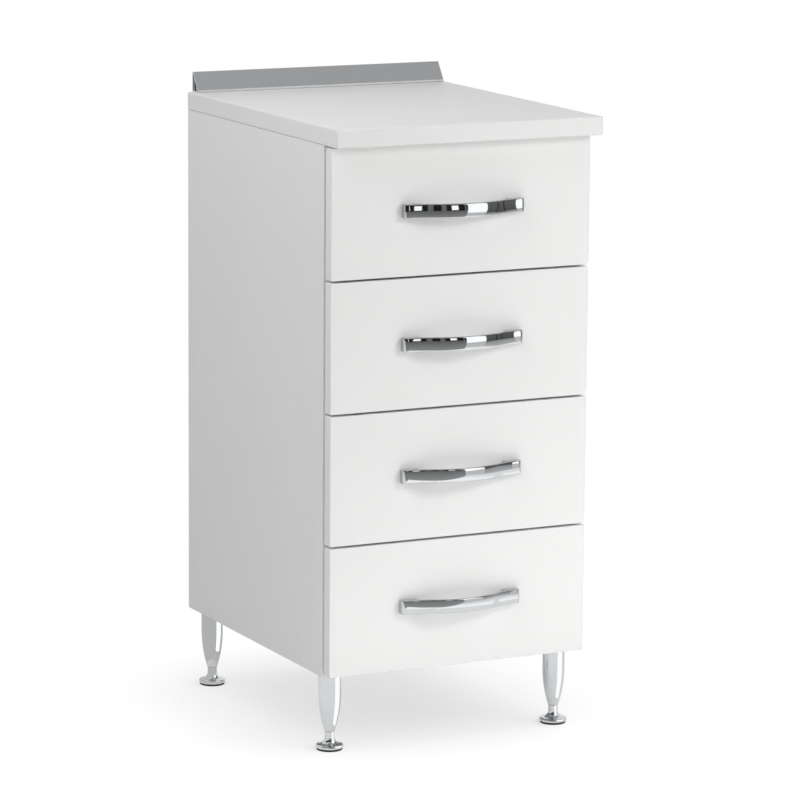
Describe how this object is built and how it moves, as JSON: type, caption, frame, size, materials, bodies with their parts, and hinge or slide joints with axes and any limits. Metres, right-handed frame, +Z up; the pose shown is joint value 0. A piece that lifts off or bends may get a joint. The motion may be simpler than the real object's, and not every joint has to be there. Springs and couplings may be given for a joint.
{
  "type": "drawer base unit",
  "caption": "White drawer base unit on turned chrome legs, with ball-runner drawers, chrome bow handles and an overhanging worktop with an aluminium upstand.",
  "frame": {"origin": "on the floor, under the middle of the unit's bounding box", "axes": "+X to the right as seen from the front, +Y to the back, +Z up; the drawers open towards -Y"},
  "size_m": [0.398, 0.501, 0.881],
  "materials": {
    "white_board": "white melamine-faced chipboard, satin",
    "white_worktop": "white laminate on chipboard, satin",
    "white_hardboard": "white painted hardboard, matt",
    "chrome": "bright chrome plate",
    "satin_aluminium": "satin anodised extrusion",
    "zinc_steel": "zinc-plated steel",
    "black_rubber": "matt black rubber"
  },
  "bodies": {
    "carcass": {"side_panel_left": "white_board", "side_panel_right": "white_board", "bottom_panel": "white_board", "front_top_rail": "white_board", "rear_top_rail": "white_board", "back_panel": "white_hardboard", "worktop": "white_worktop", "upstand_rail": "satin_aluminium", "upstand_cover": "satin_aluminium", "leg_plates": "zinc_steel", "carcass_fixings": "zinc_steel", "runner_outers": "zinc_steel", "leg_front_left": "chrome", "leg_front_right": "chrome", "leg_rear_left": "chrome", "leg_rear_right": "chrome"},
    "drawer_1": {"drawer_1_front": "white_board", "drawer_1_side_left": "white_board", "drawer_1_side_right": "white_board", "drawer_1_back": "white_board", "drawer_1_bottom": "white_hardboard", "drawer_1_handle": "chrome", "drawer_1_fixings": "zinc_steel", "drawer_1_runner_inner": "zinc_steel"},
    "runner_middle_1": {"drawer_1_runner_middle": "zinc_steel"},
    "drawer_2": {"drawer_2_front": "white_board", "drawer_2_side_left": "white_board", "drawer_2_side_right": "white_board", "drawer_2_back": "white_board", "drawer_2_bottom": "white_hardboard", "drawer_2_handle": "chrome", "drawer_2_fixings": "zinc_steel", "drawer_2_runner_inner": "zinc_steel"},
    "runner_middle_2": {"drawer_2_runner_middle": "zinc_steel"},
    "drawer_3": {"drawer_3_front": "white_board", "drawer_3_side_left": "white_board", "drawer_3_side_right": "white_board", "drawer_3_back": "white_board", "drawer_3_bottom": "white_hardboard", "drawer_3_handle": "chrome", "drawer_3_fixings": "zinc_steel", "drawer_3_runner_inner": "zinc_steel"},
    "runner_middle_3": {"drawer_3_runner_middle": "zinc_steel"},
    "drawer_4": {"drawer_4_front": "white_board", "drawer_4_side_left": "white_board", "drawer_4_side_right": "white_board", "drawer_4_back": "white_board", "drawer_4_bottom": "white_hardboard", "drawer_4_handle": "chrome", "drawer_4_fixings": "zinc_steel", "drawer_4_runner_inner": "zinc_steel"},
    "runner_middle_4": {"drawer_4_runner_middle": "zinc_steel"},
    "foot_front_left": {"foot_front_left": "chrome", "foot_pad_front_left": "black_rubber"},
    "foot_front_right": {"foot_front_right": "chrome", "foot_pad_front_right": "black_rubber"},
    "foot_rear_left": {"foot_rear_left": "chrome", "foot_pad_rear_left": "black_rubber"},
    "foot_rear_right": {"foot_rear_right": "chrome", "foot_pad_rear_right": "black_rubber"}
  },
  "joints": [
    {"name": "drawer_1_slide", "type": "slide", "parent": "carcass", "child": "drawer_1", "axis": [0, -1, 0], "range_m": [0, 0.38]},
    {"name": "runner_middle_1_slide", "type": "slide", "parent": "carcass", "child": "runner_middle_1", "axis": [0, -1, 0], "range_m": [0, 0.19]},
    {"name": "drawer_2_slide", "type": "slide", "parent": "carcass", "child": "drawer_2", "axis": [0, -1, 0], "range_m": [0, 0.38]},
    {"name": "runner_middle_2_slide", "type": "slide", "parent": "carcass", "child": "runner_middle_2", "axis": [0, -1, 0], "range_m": [0, 0.19]},
    {"name": "drawer_3_slide", "type": "slide", "parent": "carcass", "child": "drawer_3", "axis": [0, -1, 0], "range_m": [0, 0.38]},
    {"name": "runner_middle_3_slide", "type": "slide", "parent": "carcass", "child": "runner_middle_3", "axis": [0, -1, 0], "range_m": [0, 0.19]},
    {"name": "drawer_4_slide", "type": "slide", "parent": "carcass", "child": "drawer_4", "axis": [0, -1, 0], "range_m": [0, 0.38]},
    {"name": "runner_middle_4_slide", "type": "slide", "parent": "carcass", "child": "runner_middle_4", "axis": [0, -1, 0], "range_m": [0, 0.19]},
    {"name": "foot_front_left_screw", "type": "slide", "parent": "carcass", "child": "foot_front_left", "axis": [0, 0, -1], "range_m": [0, 0.012]},
    {"name": "foot_front_right_screw", "type": "slide", "parent": "carcass", "child": "foot_front_right", "axis": [0, 0, -1], "range_m": [0, 0.012]},
    {"name": "foot_rear_left_screw", "type": "slide", "parent": "carcass", "child": "foot_rear_left", "axis": [0, 0, -1], "range_m": [0, 0.012]},
    {"name": "foot_rear_right_screw", "type": "slide", "parent": "carcass", "child": "foot_rear_right", "axis": [0, 0, -1], "range_m": [0, 0.012]}
  ],
  "couplings": [
    {"joint": "runner_middle_1_slide", "follows": "drawer_1_slide", "ratio": 0.5},
    {"joint": "runner_middle_2_slide", "follows": "drawer_2_slide", "ratio": 0.5},
    {"joint": "runner_middle_3_slide", "follows": "drawer_3_slide", "ratio": 0.5},
    {"joint": "runner_middle_4_slide", "follows": "drawer_4_slide", "ratio": 0.5}
  ]
}
